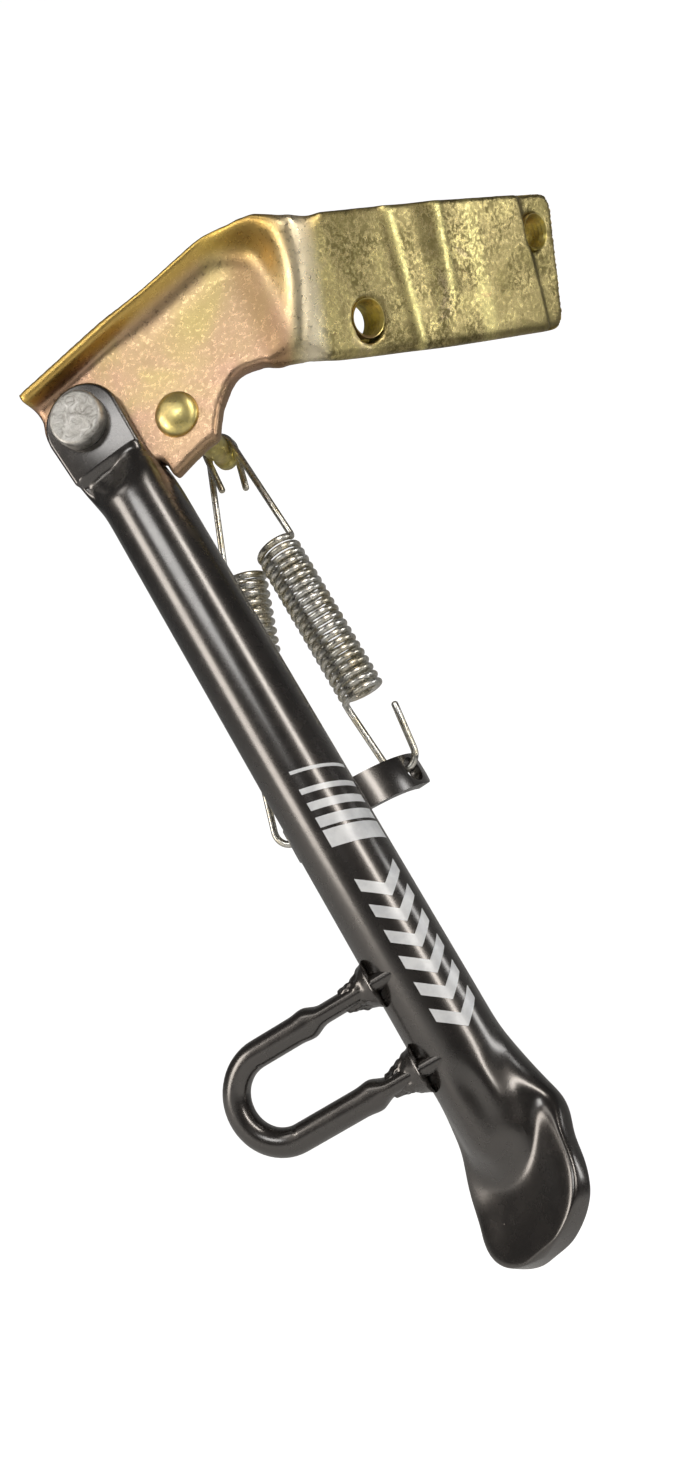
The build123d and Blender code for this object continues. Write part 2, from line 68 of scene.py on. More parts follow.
# ---- the object's own axes -----------------------------------------------------------
joints = {j["name"]: j for j in frame["record"]["behaviour"]["joints"]}
mounts = {m["name"]: m for m in frame["record"]["mounts"]}
PIVOT = Vector(joints["leg_swing"]["pos_m"])
LEG_ANGLE = math.radians(-58.65)
ALONG = Vector((math.cos(LEG_ANGLE), 0, math.sin(LEG_ANGLE)))
ACROSS = Vector((-math.sin(LEG_ANGLE), 0, math.cos(LEG_ANGLE)))
TOWARD = Vector((0, -1, 0))

# the arm's face: out of it, along it, up it, and the corner next to the knee
FACING = Vector(mounts["mount_hole_lower"]["axis"])
ARM_X = Vector((0.665642, 0.653512, 0.360337))
ARM_Y = FACING.cross(ARM_X)
ARM_AT = Vector(mounts["mount_hole_lower"]["pos_m"]) - (ARM_X * 18.6 - ARM_Y * 27.5) * MM
TAB_FACING = Vector(mounts["mount_hole_upper"]["axis"])
UPPER_HOLE = Vector(mounts["mount_hole_upper"]["pos_m"])

# millimetres from the pivot
TUBE_AT = 2.1              # the tube's axis, across the leg
TUBE_RADIUS = 11.0
EAR_FRONT = 6.6
EAR_RADIUS = 11.5
SLOT_HALF = 2.8
SLOT_DEPTH = 23.8
PLATE_FRONT = 2.5
STUD = (26.46, 0.88)       # right of and above the pivot


def leg(along, across, toward=0.0):
    """A point given in millimetres along, across and in front of the leg at rest."""
    return PIVOT + (ALONG * along + ACROSS * across + TOWARD * toward) * MM


def front(x, z, toward=0.0):
    """A point given in millimetres to the right of, above and in front of the pivot."""
    return PIVOT + Vector((x, -toward, z)) * MM


def smooth(low, high, value):
    """0 at low, 1 at high, and a soft step between."""
    t = min(max((value - low) / (high - low), 0.0), 1.0)
    return t * t * (3 - 2 * t)


def eased(rows, at):
    """Values between keyed rows (station, value, ...), with no kinks at the keys."""
    if at <= rows[0][0]:
        return list(rows[0][1:])
    if at >= rows[-1][0]:
        return list(rows[-1][1:])
    i = max(k for k, row in enumerate(rows) if row[0] <= at)
    a, b = rows[i], rows[i + 1]
    before, after = rows[max(i - 1, 0)], rows[min(i + 2, len(rows) - 1)]
    span = b[0] - a[0]
    t = (at - a[0]) / span
    out = []
    for k in range(1, len(a)):
        start = (b[k] - before[k]) / (b[0] - before[0]) * span if i > 0 else 0.0
        finish = b[k] - a[k]
        if i + 2 < len(rows):
            finish = (after[k] - a[k]) / (after[0] - a[0]) * span
        h00, h10 = 2 * t**3 - 3 * t**2 + 1, t**3 - 2 * t**2 + t
        h01, h11 = -2 * t**3 + 3 * t**2, t**3 - t**2
        out.append(h00 * a[k] + h10 * start + h01 * b[k] + h11 * finish)
    return out


# ---- materials -----------------------------------------------------------------------
class Shader:
    """A principled material, built node by node."""

    def __init__(self, name, **sockets):
        self.material = bpy.data.materials.new(name)
        self.material.use_nodes = True
        self.nodes = self.material.node_tree.nodes
        self.links = self.material.node_tree.links
        self.surface = self.nodes["Principled BSDF"]
        for socket, value in sockets.items():
            self.surface.inputs[socket.replace("_", " ")].default_value = value
        coordinates = self.nodes.new("ShaderNodeTexCoord")
        self.place = coordinates.outputs["Object"]

    def noise(self, scale, detail=4.0, roughness=0.6, distortion=0.0, place=None):
        node = self.nodes.new("ShaderNodeTexNoise")
        node.inputs["Scale"].default_value = scale
        node.inputs["Detail"].default_value = detail
        node.inputs["Roughness"].default_value = roughness
        node.inputs["Distortion"].default_value = distortion
        self.links.new(place or self.place, node.inputs["Vector"])
        return node.outputs["Fac"]

    def cells(self, scale, feature="F1"):
        """Distance to the nearest of many scattered points."""
        node = self.nodes.new("ShaderNodeTexVoronoi")
        node.feature = feature
        node.inputs["Scale"].default_value = scale
        self.links.new(self.place, node.inputs["Vector"])
        return node.outputs["Distance"]

    def stretched(self, x, y, z):
        """The object's coordinates, scaled by a factor on each axis."""
        node = self.nodes.new("ShaderNodeMapping")
        node.inputs["Scale"].default_value = (x, y, z)
        self.links.new(self.place, node.inputs["Vector"])
        return node.outputs["Vector"]

    def coordinate(self, axis):
        node = self.nodes.new("ShaderNodeSeparateXYZ")
        self.links.new(self.place, node.inputs["Vector"])
        return node.outputs[axis]

    def along(self, origin, axis):
        """Distance in metres from origin along axis."""
        shift = self.nodes.new("ShaderNodeVectorMath")
        shift.operation = "SUBTRACT"
        shift.inputs[1].default_value = origin
        self.links.new(self.place, shift.inputs[0])
        node = self.nodes.new("ShaderNodeVectorMath")
        node.operation = "DOT_PRODUCT"
        node.inputs[1].default_value = axis
        self.links.new(shift.outputs[0], node.inputs[0])
        return node.outputs["Value"]

    def near(self, value, centre, width):
        """1 where value is at centre, falling softly to 0 at width from it."""
        off = self.math("ABSOLUTE", self.math("SUBTRACT", value, centre))
        return self.spread(off, 0.0, width, 1.0, 0.0)

    def math(self, operation, a, b=0.0):
        node = self.nodes.new("ShaderNodeMath")
        node.operation = operation
        for socket, value in zip(node.inputs, (a, b)):
            if isinstance(value, (int, float)):
                socket.default_value = value
            else:
                self.links.new(value, socket)
        return node.outputs[0]

    def spread(self, value, low, high, to_low=0.0, to_high=1.0):
        """A soft step from to_low where value is low, to to_high where it is high."""
        node = self.nodes.new("ShaderNodeMapRange")
        node.interpolation_type = "SMOOTHSTEP"
        for socket, number in zip(node.inputs[1:5], (low, high, to_low, to_high)):
            socket.default_value = number
        self.links.new(value, node.inputs["Value"])
        return node.outputs["Result"]

    def ramp(self, value, *stops):
        node = self.nodes.new("ShaderNodeValToRGB")
        elements = node.color_ramp.elements
        while len(elements) < len(stops):
            elements.new(0.5)
        for element, (position, colour) in zip(elements, stops):
            element.position = position
            element.color = (*colour, 1)
        self.links.new(value, node.inputs["Fac"])
        return node.outputs["Color"]

    def mix(self, factor, a, b):
        """Colour a where factor is 0, b where it is 1."""
        node = self.nodes.new("ShaderNodeMix")
        node.data_type = "RGBA"
        self.links.new(factor, node.inputs[0])
        for socket, value in ((node.inputs[6], a), (node.inputs[7], b)):
            if isinstance(value, tuple):
                socket.default_value = (*value, 1)
            else:
                self.links.new(value, socket)
        return node.outputs[2]

    def feed(self, socket, value):
        self.links.new(value, self.surface.inputs[socket])

    def bump(self, height, strength, distance):
        """Adds relief on top of any that is there."""
        node = self.nodes.new("ShaderNodeBump")
        node.inputs["Strength"].default_value = strength
        node.inputs["Distance"].default_value = distance
        self.links.new(height, node.inputs["Height"])
        previous = self.surface.inputs["Normal"].links
        if previous:
            self.links.new(previous[0].from_socket, node.inputs["Normal"])
        self.links.new(node.outputs["Normal"], self.surface.inputs["Normal"])


def black_paint():
    """Satin black enamel with a warm cast, faint orange peel and small specks of dust."""
    m = Shader(
        "black_paint",
        Metallic=0.0, Roughness=0.3, Coat_Weight=0.6, Coat_Roughness=0.2, Coat_IOR=2.0,
    )
    m.surface.inputs["Specular IOR Level"].default_value = 0.9
    m.surface.inputs["Specular Tint"].default_value = (1.0, 0.93, 0.86, 1)
    base = m.ramp(
        m.noise(60, 5, 0.62), (0.3, (0.0035, 0.0026, 0.002)), (0.7, (0.010, 0.0075, 0.006))
    )
    specks = m.spread(m.cells(330), 0.03, 0.06, 1.0, 0.0)
    chosen = m.spread(m.noise(90, 2), 0.60, 0.64)
    dust = m.math("MULTIPLY", specks, chosen)
    m.feed("Base Color", m.mix(dust, base, (0.42, 0.38, 0.33)))
    m.feed("Roughness", m.spread(m.noise(210, 4), 0.3, 0.75, 0.23, 0.31))
    m.bump(m.noise(1100, 2, 0.5), 0.05, 0.0002)
    m.bump(m.noise(100, 2, 0.5), 0.06, 0.0006)
    m.bump(dust, 0.3, 0.0002)
    return m.material


def yellow_zinc():
    """Yellow passivated zinc: gold to olive with a pink bloom and a darker speckle."""
    m = Shader("yellow_zinc", Metallic=0.92, Roughness=0.34)
    gold = m.ramp(
        m.noise(34, 3, 0.5, 0.6),
        (0.30, (0.50, 0.44, 0.12)),
        (0.47, (0.80, 0.68, 0.24)),
        (0.60, (0.84, 0.58, 0.30)),
        (0.74, (0.76, 0.70, 0.40)),
    )
    fine = m.noise(520, 6, 0.68)
    speckle = m.math("MULTIPLY", m.spread(fine, 0.40, 0.60, 1.0, 0.0), 0.45)
    patch = m.spread(m.noise(60, 4, 0.6), 0.36, 0.62)
    dark = m.mix(patch, (0.30, 0.25, 0.10), (0.46, 0.40, 0.20))
    m.feed("Base Color", m.mix(speckle, gold, dark))
    m.feed("Roughness", m.spread(fine, 0.3, 0.7, 0.42, 0.26))
    m.bump(fine, 0.16, 0.00025)
    m.bump(m.noise(120, 3, 0.5), 0.10, 0.0006)
    return m.material


def bracket_zinc():
    """The bracket's plating: a pink plate, a gold wall, an arm mottled with olive, and painted
    highlights and shade at its creases and knee.
    """
    m = Shader("bracket_zinc", Metallic=0.95, Roughness=0.32)

    def leaned(value, other, lean):
        """value, with lean of other added."""
        return m.math("ADD", value, m.math("MULTIPLY", other, lean))

    right_of_knee = leaned(m.coordinate("X"), m.coordinate("Z"), -0.25)
    arm_share = m.spread(right_of_knee, -0.0175, -0.0125)
    plate = m.ramp(
        m.noise(30, 3, 0.5, 0.5),
        (0.32, (0.54, 0.42, 0.18)),
        (0.42, (0.53, 0.37, 0.21)),
        (0.52, (0.52, 0.33, 0.22)),
        (0.70, (0.50, 0.36, 0.21)),
    )
    wall = m.spread(m.along(PIVOT, TOWARD), 0.0032, 0.0065, 0.0, 0.7)
    plate = m.mix(wall, plate, (0.72, 0.49, 0.09))
    arm = m.ramp(
        m.noise(42, 4, 0.55, 0.9),
        (0.34, (0.30, 0.25, 0.10)),
        (0.47, (0.44, 0.36, 0.16)),
        (0.58, (0.62, 0.52, 0.22)),
        (0.70, (0.56, 0.44, 0.28)),
    )
    # the arm's creases with painted highlights, the knee's bend with a painted highlight, and the
    # knee's slope with painted shade
    over, up = m.along(ARM_AT, ARM_X), m.along(ARM_AT, ARM_Y)
    first = m.near(leaned(over, up, 0.16), 0.0298, 0.0028)
    second = m.near(leaned(over, up, 0.09), 0.0466, 0.0032)
    second = m.math("MULTIPLY", second, m.spread(up, -0.030, -0.020))
    third = m.math("MULTIPLY", m.near(leaned(over, up, 0.10), 0.0590, 0.0050), 0.6)
    knee = leaned(over, up, -0.06)
    bend = m.near(knee, 0.0015, 0.0065)
    slope = m.near(knee, -0.0065, 0.0050)
    crease_highlights = m.math("MAXIMUM", m.math("MAXIMUM", first, second), third)
    # painted highlights in bright yellow along the arm's creases
    arm = m.mix(m.math("MULTIPLY", crease_highlights, 0.85), arm, (0.98, 0.86, 0.36))
    fine = m.noise(800, 7, 0.75, 0.2)
    cloud = m.spread(m.noise(75, 4, 0.6, 0.4), 0.36, 0.60, 1.0, 0.35)
    speckle = m.math("MULTIPLY", m.spread(fine, 0.45, 0.55, 1.0, 0.0), cloud)
    shown = leaned(m.spread(arm_share, 0.0, 1.0, 0.05, 0.85), crease_highlights, -0.35)
    flecks = m.math("MULTIPLY", speckle, shown)
    colour = m.mix(flecks, m.mix(arm_share, plate, arm), (0.11, 0.09, 0.03))
    scratches = m.noise(70, 5, 0.75, 1.6, m.stretched(1.0, 1.0, 5.0))
    worn_and_shaded = m.mix(m.spread(scratches, 0.64, 0.70, 0.0, 0.45), colour, (0.46, 0.24, 0.13))
    # painted shade, dark brown, on the knee's slope
    worn_and_shaded = m.mix(m.math("MULTIPLY", slope, 0.6), worn_and_shaded, (0.26, 0.16, 0.06))
    # painted highlight, pale gold, along the knee's bend
    m.feed("Base Color", m.mix(m.math("MULTIPLY", bend, 0.9), worn_and_shaded, (0.97, 0.86, 0.62)))
    m.feed("Roughness", m.spread(fine, 0.3, 0.7, 0.44, 0.22))
    m.bump(fine, 0.30, 0.0003)
    m.bump(m.noise(110, 3, 0.5), 0.08, 0.0008)
    return m.material


def bright_zinc(name, colour, roughness, grain):
    """Clear zinc on steel, slightly yellowed in places."""
    m = Shader(name, Metallic=1.0, Roughness=roughness)
    warm = tuple(c * f for c, f in zip(colour, (0.86, 0.80, 0.66)))
    m.feed("Base Color", m.mix(m.spread(m.noise(150, 4, 0.6), 0.42, 0.66), colour, warm))
    fine = m.noise(grain, 5, 0.65)
    m.feed("Roughness", m.spread(fine, 0.3, 0.7, roughness - 0.07, roughness + 0.12))
    m.bump(fine, 0.2, 0.0002)
    return m.material


def bolt_zinc():
    """The bolt's head: dull pale zinc with struck pits and streaks."""
    m = Shader("bolt_zinc", Metallic=0.85, Roughness=0.42)
    stain = m.noise(330, 6, 0.7, 1.2)
    colour = m.ramp(
        stain,
        (0.34, (0.25, 0.24, 0.22)),
        (0.48, (0.42, 0.41, 0.38)),
        (0.64, (0.56, 0.55, 0.52)),
    )
    m.feed("Base Color", colour)
    m.feed("Roughness", m.spread(stain, 0.3, 0.7, 0.5, 0.32))
    m.bump(stain, 0.5, 0.0005)
    m.bump(m.cells(420, "SMOOTH_F1"), 0.25, 0.0005)
    return m.material


def silver_print():
    """Screen-printed silver ink, a little uneven."""
    m = Shader("silver_print", Metallic=0.15, Roughness=0.38)
    ink = m.ramp(m.noise(210, 4), (0.35, (0.62, 0.64, 0.66)), (0.65, (0.80, 0.82, 0.83)))
    m.feed("Base Color", ink)
    m.bump(m.noise(1200, 2), 0.06, 0.0001)
    return m.material


def plain(name, colour, metallic, roughness, grain):
    """A quiet material with slight variation, for pieces that are mostly hidden."""
    m = Shader(name, Metallic=metallic, Roughness=roughness)
    darker = tuple(c * 0.7 for c in colour)
    m.feed("Base Color", m.mix(m.spread(m.noise(grain, 4), 0.35, 0.65), colour, darker))
    m.bump(m.noise(grain * 4, 3), 0.15, 0.0002)
    return m.material


PAINT = black_paint()
BRACKET = bracket_zinc()
GOLD = yellow_zinc()
SPRING = bright_zinc("spring_zinc", (0.74, 0.73, 0.68), 0.27, 900)
SILVER = bright_zinc("bright_zinc", (0.70, 0.70, 0.69), 0.30, 600)
BOLT = bolt_zinc()
PRINT = silver_print()
BRONZE = plain("bush_bronze", (0.55, 0.40, 0.20), 1.0, 0.35, 200)
NYLON = plain("lock_nylon", (0.72, 0.72, 0.68), 0.0, 0.5, 200)


# ---- mesh helpers --------------------------------------------------------------------
def piece(name, points, faces, material, body=None, slot=None, sharp=None):
    """A mesh object from points in metres, shaded smooth, riding on a body."""
    mesh = bpy.data.meshes.new(name)
    mesh.from_pydata([tuple(p) for p in points], [], faces)
    shape = bmesh.new()
    shape.from_mesh(mesh)
    bmesh.ops.remove_doubles(shape, verts=shape.verts, dist=1e-7)
    bmesh.ops.recalc_face_normals(shape, faces=shape.faces)
    shape.to_mesh(mesh)
    shape.free()
    mesh.shade_smooth()
    if sharp is not None:
        mesh.set_sharp_from_angle(angle=math.radians(sharp))
    obj = bpy.data.objects.new(name, mesh)
    bpy.context.scene.collection.objects.link(obj)
    mesh.materials.append(material)
    if body:
        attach(obj, body)
    return obj


def skin(rings, closed=True):
    """Points and faces over a stack of equal rings, closed at both ends or left open."""
    count = len(rings[0])
    points = [p for ring in rings for p in ring]
    faces = []
    for r in range(len(rings) - 1):
        for k in range(count):
            a, b = r * count + k, r * count + (k + 1) % count
            faces.append((a, b, b + count, a + count))
    for r in (0, len(rings) - 1) if closed else ():
        centre = sum(rings[r], Vector()) / count
        points.append(centre)
        hub = len(points) - 1
        faces += [(r * count + k, r * count + (k + 1) % count, hub) for k in range(count)]
    return points, faces


def swept(path, radii, sides, squash=None):
    """Rings of wire or rod along a path, with rounded ends."""
    tangents = []
    for i in range(len(path)):
        tangents.append((path[min(i + 1, len(path) - 1)] - path[max(i - 1, 0)]).normalized())
    normal = tangents[0].orthogonal().normalized()
    rings = []
    for i, (point, tangent) in enumerate(zip(path, tangents)):
        normal = (normal - tangent * normal.dot(tangent)).normalized()
        side = tangent.cross(normal)
        radius = radii[i] if isinstance(radii, list) else radii
        ring = []
        for k in range(sides):
            a = 2 * math.pi * k / sides
            offset = (normal * math.cos(a) + side * math.sin(a)) * radius
            if squash:
                offset = squash(i, offset)
            ring.append(point + offset)
        rings.append(ring)
    for end, inward in ((0, 1), (-1, -1)):
        centre, tangent = path[end], tangents[end] * -inward
        radius = (rings[end][0] - centre).length
        caps = []
        for step in (0.45, 0.8, 0.97):
            shrink = math.sqrt(1 - step * step)
            peak = centre + tangent * radius * step * 0.8
            caps.append([peak + (p - centre) * shrink for p in rings[end]])
        rings = caps[::-1] + rings if end == 0 else rings + caps
    return rings


def turned(origin, axis, profile, segments):
    """Rings round an axis: profile is (radius, distance along axis) in millimetres."""
    axis = Vector(axis).normalized()
    side = axis.orthogonal().normalized()
    other = axis.cross(side)
    rings = []
    for radius, distance in profile:
        ring = []
        for k in range(segments):
            a = 2 * math.pi * k / segments
            spoke = side * math.cos(a) + other * math.sin(a)
            ring.append(Vector(origin) + (spoke * radius + axis * distance) * MM)
        rings.append(ring)
    return rings


def apply_modifier(obj, kind, **settings):
    """Adds one modifier and makes its result the mesh."""
    modifier = obj.modifiers.new(kind.lower(), kind)
    for key, value in settings.items():
        setattr(modifier, key, value)
    bpy.context.view_layer.update()
    shown = obj.evaluated_get(bpy.context.evaluated_depsgraph_get())
    mesh = bpy.data.meshes.new_from_object(shown)
    obj.modifiers.clear()
    old = obj.data
    obj.data = mesh
    bpy.data.meshes.remove(old)


def rounded(obj, width, segments, from_angle, sharp):
    """Rounds the edges that turn more than from_angle, and shades flat above sharp."""
    apply_modifier(
        obj, "BEVEL", width=width, segments=segments,
        limit_method="ANGLE", angle_limit=math.radians(from_angle),
    )
    obj.data.set_sharp_from_angle(angle=math.radians(sharp))


def cut(obj, tool):
    """Takes the tool's volume out of obj, and leaves no tool or modifier behind."""
    apply_modifier(obj, "BOOLEAN", operation="DIFFERENCE", object=tool, solver="EXACT")
    bpy.data.objects.remove(tool, do_unlink=True)


def slot_tool():
    """The fork's slot, which the bracket's lug swings in."""
    points = [
        leg(along, across, toward)
        for along in (-20, SLOT_DEPTH)
        for across in (-20, 20)
        for toward in (-SLOT_HALF, SLOT_HALF)
    ]
    faces = [(0, 1, 3, 2), (4, 6, 7, 5), (0, 4, 5, 1), (2, 3, 7, 6), (0, 2, 6, 4), (1, 5, 7, 3)]
    return piece("tool", points, faces, PAINT)


def painted(obj, node=None):
    """Gives a finished piece of the leg its body, and hides the node it stands for."""
    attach(obj, "leg")
    if node:
        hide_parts(node)


def relax(mesh, softness, rounds):
    """Evens a mesh out: softness(point) says how freely each point may move, from 0 to 1."""
    count = len(mesh.vertices)
    places = np.empty(count * 3)
    mesh.vertices.foreach_get("co", places)
    places = places.reshape(-1, 3)
    ends = np.empty(len(mesh.edges) * 2, dtype=int)
    mesh.edges.foreach_get("vertices", ends)
    ends = ends.reshape(-1, 2)
    freedom = np.array([softness(Vector(place)) for place in places])[:, None]
    neighbours = np.maximum(np.bincount(ends.ravel(), minlength=count), 1)[:, None]
    for _ in range(rounds):
        total = np.zeros_like(places)
        for axis in range(3):
            total[:, axis] = np.bincount(ends[:, 0], places[ends[:, 1], axis], count)
            total[:, axis] += np.bincount(ends[:, 1], places[ends[:, 0], axis], count)
        places += (total / neighbours - places) * 0.6 * freedom
    mesh.vertices.foreach_set("co", places.ravel())
    mesh.update()


def reshape(mesh, moved):
    """Puts each point of a mesh where moved(point) says."""
    for vertex in mesh.vertices:
        vertex.co = moved(vertex.co.copy())
    mesh.update()


# ---- leg -----------------------------------------------------------------------------
SIDES = 96

# station, across, forward, bend, twist, half width, front depth, back depth, squareness
LEG_KEYS = (
    (13.6, 0.5, 0.0, 0.0, 0.0, 10.9, 6.7, 6.7, 6.0),
    (16.0, 0.6, 0.0, 0.0, 0.0, 10.9, 7.0, 7.0, 4.4),
    (20.0, 1.2, 0.0, 0.0, 0.0, 10.9, 8.6, 8.6, 3.0),
    (25.0, 1.9, 0.0, 0.0, 0.0, 10.9, 10.5, 10.5, 2.2),
    (30.0, 2.1, 0.0, 0.0, 0.0, 11.0, 11.0, 11.0, 2.0),
    (36.0, 2.1, 0.0, 0.0, 0.0, 11.0, 11.0, 11.0, 2.0),
    (180.0, 2.1, 0.0, 0.0, 0.0, 11.0, 11.0, 11.0, 2.0),
    (186.0, 2.1, 0.0, 0.0, 0.0, 11.0, 11.0, 11.0, 2.0),
    (193.0, 2.3, -0.2, 2.0, 2.0, 11.1, 11.0, 10.6, 2.0),
    (200.0, 2.8, -0.8, 6.0, 6.0, 11.9, 10.2, 9.0, 2.05),
    (207.0, 3.3, -0.8, 13.0, 11.0, 13.4, 8.4, 6.9, 2.2),
    (214.0, 3.5, 0.2, 24.0, 17.0, 15.6, 5.4, 4.3, 3.0),
    (222.0, 1.5, 4.4, 36.0, 24.0, 16.7, 2.9, 2.8, 9.0),
)
LEG_START, PAD_START = LEG_KEYS[0][0], LEG_KEYS[-1][0]
PAD_LENGTH = 18.6
PAD_STRAIGHT = 5.5         # how far its sides run straight before the round toe
PAD_HALF = 2.9             # half its thickness
PAD_SQUARENESS = 9.0


def leg_plane(along, across, forward, bend, twist):
    """Centre and axes of a section square to the bent leg."""
    b, t = math.radians(bend), math.radians(twist)
    face = TOWARD * math.cos(b) - ALONG * math.sin(b)
    down = TOWARD * math.sin(b) + ALONG * math.cos(b)
    right = ACROSS * math.cos(t) + face * math.sin(t)
    out = face * math.cos(t) - ACROSS * math.sin(t)
    return leg(along, across, forward), right, out, down


def round_ish(t, power):
    """Height of a rounded box at t, from its middle (0) to its side (1)."""
    return max(1 - abs(t) ** power, 0.0) ** (1 / power)


def leg_ring(along):
    """One section of the leg, with the fork's crease or the pressed foot on its front."""
    across, forward, bend, twist, half, ahead, behind, power = eased(LEG_KEYS, along)
    centre, right, out, down = leg_plane(along, across, forward, bend, twist)
    ring = []
    for k in range(SIDES):
        a = 2 * math.pi * k / SIDES
        x = math.cos(a)
        if math.sin(a) < -1e-6:
            height = -behind * round_ish(x, power)
        else:
            height = ahead * round_ish(x, power)
            if along > 184:
                height -= dished(x) * smooth(206, 222, along)
                height = pressed_front(centre + right * x * half * MM, out, height)
            elif along < 30:
                height += fork_front(along, x)
        ring.append(centre + (right * x * half + out * height) * MM)
    return ring


def fork_front(along, x):
    """The pressed crease below the fork: a low ridge, then a dimple on the left."""
    dimple = -1.5 * smooth(14.0, 16.5, along) * (1 - smooth(18.0, 27.0, along))
    lean = (1 - smooth(-0.15, 0.6, x)) * smooth(-1.0, -0.75, x)
    ridge = 0.5 * (1 - smooth(13.6, 15.4, along))
    return dimple * lean + ridge * round_ish(x, 6)


def pressed_front(base, out, pad):
    """Height of the foot's front over base: tube wall where the press left it, else pad."""
    offset = (base - leg(0, TUBE_AT)) / MM
    a, b = offset.dot(ACROSS), offset.dot(TOWARD)
    c, d = out.dot(ACROSS), out.dot(TOWARD)
    height = pad
    for _ in range(3):
        spot = offset + out * height
        across, along = spot.dot(ACROSS), spot.dot(ALONG)
        ridged = smooth(192, 201, along)
        radius = TUBE_RADIUS - 0.3 * ridged
        radius += 1.1 * ridged * math.exp(-((across + 4.0) / 2.0) ** 2)
        radius += 1.1 * ridged * math.exp(-((across - 4.4) / 2.0) ** 2)
        radius -= 1.0 * ridged * math.exp(-((across - 0.4) / 1.9) ** 2)
        square, cross = c * c + d * d, a * c + b * d
        root = cross * cross - square * (a * a + b * b - radius * radius)
        height = (-cross + math.sqrt(max(root, 0.0))) / square
    end = 216.0 - 19 * smooth(0.5, 10.5, across)
    pressed = max(smooth(end - 3.0, end + 3.0, along), smooth(6.0, 0.0, root))
    return height + (pad - height) * pressed


def dished(x):
    """How far the pad's face is sunk inside its rim."""
    return 0.8 * (1 - smooth(0.30, 0.86, x)) * smooth(-1.0, -0.4, x)


def pad_rings():
    """The flat of the foot, from the last leg section to its round toe."""
    widest = LEG_KEYS[-1][5]
    centre, right, out, down = leg_plane(*LEG_KEYS[-1][:5])
    rings = []
    steps = 34
    for i in range(1, steps + 1):
        t = PAD_LENGTH * math.sin(math.pi / 2 * i / steps)
        reach = max(t - PAD_STRAIGHT, 0) / (PAD_LENGTH - PAD_STRAIGHT)
        half = widest * max(1 - reach**2.5, 0) ** 0.5 + 0.02
        depth = PAD_HALF * math.sqrt(max(1 - smooth(0.93, 1.02, reach) ** 2, 0.02))
        sunk = 1 - smooth(0.30, 0.95, reach)
        ring = []
        for k in range(SIDES):
            a = 2 * math.pi * k / SIDES
            x = math.cos(a)
            height = depth * round_ish(x, PAD_SQUARENESS)
            if math.sin(a) < -1e-6:
                height = -height
            base = centre + (right * (x * half - 1.6 * reach) + down * t) * MM
            if math.sin(a) >= -1e-6:
                height = pressed_front(base, out, height - dished(x) * sunk)
            ring.append(base + out * height * MM)
        rings.append(ring)
    return rings


def foot_softness(point):
    """How freely the foot's surface evens out; the toe keeps more of its edge."""
    along = (point - PIVOT).dot(ALONG) / MM
    return 0.85 * smooth(183, 191, along) * (1 - 0.75 * smooth(226, 231, along))


stations = [LEG_START + 0.6 * i for i in range(28)] + [31, 34, 40] + list(range(50, 181, 10))
stations += [184, 186.5] + [188.5 + 0.75 * i for i in range(45)]
leg_rings = [leg_ring(s) for s in stations if s <= PAD_START] + pad_rings()
leg_body = piece("leg_body", *skin(leg_rings), PAINT, sharp=60)
relax(leg_body.data, foot_softness, 18)
cut(leg_body, slot_tool())
painted(leg_body, "leg_tube")

outline = []
for i in range(49):
    a = math.radians(90 + 180 * i / 48)
    outline.append((EAR_RADIUS * math.cos(a), EAR_RADIUS * math.sin(a)))
outline += [(14.6, -10.5), (14.6, 11.3)]
ear_points = [leg(s, u, side) for side in (-EAR_FRONT, EAR_FRONT) for s, u in outline]
count = len(outline)
ear_faces = [tuple(range(count)), tuple(range(2 * count - 1, count - 1, -1))]
ear_faces += [(k, (k + 1) % count, (k + 1) % count + count, k + count) for k in range(count)]
leg_ear = piece("leg_ear", ear_points, ear_faces, PAINT, sharp=45)
cut(leg_ear, slot_tool())
rounded(leg_ear, 0.0011, 4, 50, 40)
painted(leg_ear)

# ---- foot loop -----------------------------------------------------------------------
LOOP_TOP = 168.8           # station of the upper rod
LOOP_GAP = 22.2            # between the rods' axes
LOOP_REACH = -41.0         # where the rods start to turn, across the leg
LOOP_LIFT = 7.0            # in front of the pivot's plane
ROD_RADIUS = 3.5
across_steps = [u for u in (1.5 - 0.8 * i for i in range(54)) if u > LOOP_REACH]
loop_path = [(LOOP_TOP, u) for u in across_steps]
for i in range(33):
    a = math.pi * i / 32
    along = LOOP_TOP + LOOP_GAP / 2 * (1 - math.cos(a))
    loop_path.append((along, LOOP_REACH - LOOP_GAP / 2 * math.sin(a)))
loop_path += [(LOOP_TOP + LOOP_GAP, u) for u in across_steps[::-1]]


def pinched(i, offset):
    """The rod is pressed flatter between its dent and the weld."""
    s, u = loop_path[i]
    nip = -23.0 if s < LOOP_TOP + 1 else -17.0
    flat = smooth(nip - 2.5, nip + 2.0, u)
    lip = 0.10 * math.exp(-((u - nip + 3.0) / 2.0) ** 2)
    along, forward = offset.dot(ALONG), offset.dot(TOWARD)
    return offset - ALONG * along * (0.30 * flat - lip) + TOWARD * forward * 0.06 * flat


rod = [leg(s, u, LOOP_LIFT) for s, u in loop_path]
loop = piece("foot_loop_rod", *skin(swept(rod, ROD_RADIUS * MM, 32, pinched)), PAINT)
painted(loop, "foot_loop")

